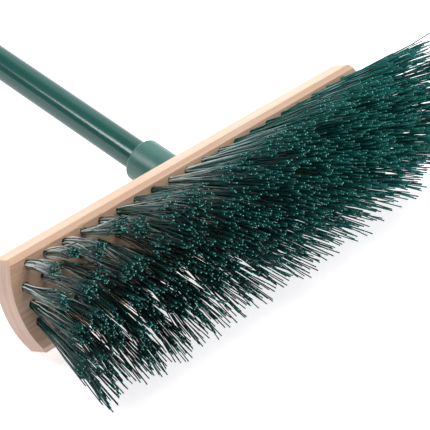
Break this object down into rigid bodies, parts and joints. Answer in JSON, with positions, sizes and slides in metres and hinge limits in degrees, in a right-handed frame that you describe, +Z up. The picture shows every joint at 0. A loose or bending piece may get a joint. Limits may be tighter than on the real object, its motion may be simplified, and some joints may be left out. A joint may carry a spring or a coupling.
{
  "type": "push broom",
  "caption": "Push broom with a bevelled wooden block, angled tufts in five rows, a tilted plastic socket and a long coated handle that pulls out.",
  "frame": {"origin": "on the floor, midway between the foremost bristle tips and the end of the handle, in the broom's middle plane", "axes": "X along the block, +Y along the floor from the bristles to the handle's end, +Z up"},
  "size_m": [0.4822, 1.5395, 0.1345],
  "materials": {
    "wood": "sanded raw beech, fine pores and rays, unvarnished",
    "bristles": "glossy dark green filament, cut ends paler and teal",
    "wire": "drawn flat wire",
    "socket_plastic": "semi-matte moulded green plastic",
    "zinc_steel": "bright zinc plate",
    "tube_steel": "plain welded tube",
    "handle_coat": "glossy extruded green coat",
    "cap_plastic": "semi-matte moulded green plastic"
  },
  "bodies": {
    "head": {"block": "wood", "tuft_row_1": "bristles", "tuft_row_2": "bristles", "tuft_row_3": "bristles", "tuft_row_4": "bristles", "tuft_row_5": "bristles", "tuft_anchors": "wire", "handle_socket": "socket_plastic", "flange_screws": "zinc_steel", "lock_nut": "zinc_steel"},
    "handle": {"handle_tube": "tube_steel", "handle_sleeve": "handle_coat", "foot_plug": "cap_plastic", "end_cap": "cap_plastic"},
    "lock_screw": {"lock_screw": "zinc_steel"}
  },
  "joints": [
    {"name": "handle_pull", "type": "slide", "parent": "head", "child": "handle", "axis": [0, 0.9998, -0.0194], "range_m": [0, 0.05]},
    {"name": "lock_screw_release", "type": "slide", "parent": "head", "child": "lock_screw", "axis": [0, -0.0194, -0.9998], "range_m": [0, 0.005]}
  ]
}
